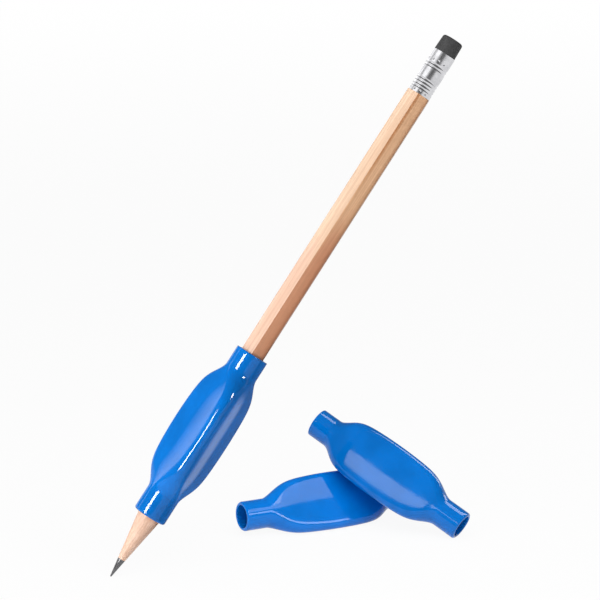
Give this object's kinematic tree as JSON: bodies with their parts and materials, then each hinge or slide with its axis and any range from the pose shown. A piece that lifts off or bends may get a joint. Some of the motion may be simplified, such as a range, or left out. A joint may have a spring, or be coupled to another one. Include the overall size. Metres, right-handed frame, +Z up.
{
  "type": "pencil grip",
  "caption": "Soft hollow finger grip with flat sides, pulled onto a sharpened wooden pencil held to write, with loose spare grips leaning beside it.",
  "frame": {"origin": "middle of the fitted grip on the pencil's axis, where the fingers hold it", "axes": "+Z up from the desk, +X to the viewer's right and +Y away from the viewer, as pictured"},
  "size_m": [0.1082, 0.0707, 0.1558],
  "materials": {
    "vinyl": "glossy dip-moulded soft vinyl",
    "cedar": "natural wood, thin clear lacquer",
    "graphite": "dark graphite with a faint shine",
    "ferrule_metal": "bright rolled sheet",
    "eraser_rubber": "matte"
  },
  "bodies": {
    "pencil": {"left_slat": "cedar", "right_slat": "cedar", "graphite_core": "graphite", "ferrule": "ferrule_metal", "eraser": "eraser_rubber"},
    "grip": {"fitted_grip": "vinyl"},
    "lower_spare": {"spare_grip_lower": "vinyl"},
    "upper_spare": {"spare_grip_upper": "vinyl"}
  },
  "joints": [
    {"name": "grip_slide", "type": "slide", "parent": "pencil", "child": "grip", "axis": [0.5386, 0.2014, 0.8182], "range_m": [0, 0.17]},
    {"name": "lower_lift", "type": "slide", "parent": "pencil", "child": "lower_spare", "axis": [0, 0, 1], "range_m": [0, 0.04]},
    {"name": "upper_lift", "type": "slide", "parent": "lower_spare", "child": "upper_spare", "axis": [0, 0, 1], "range_m": [0, 0.04]}
  ]
}
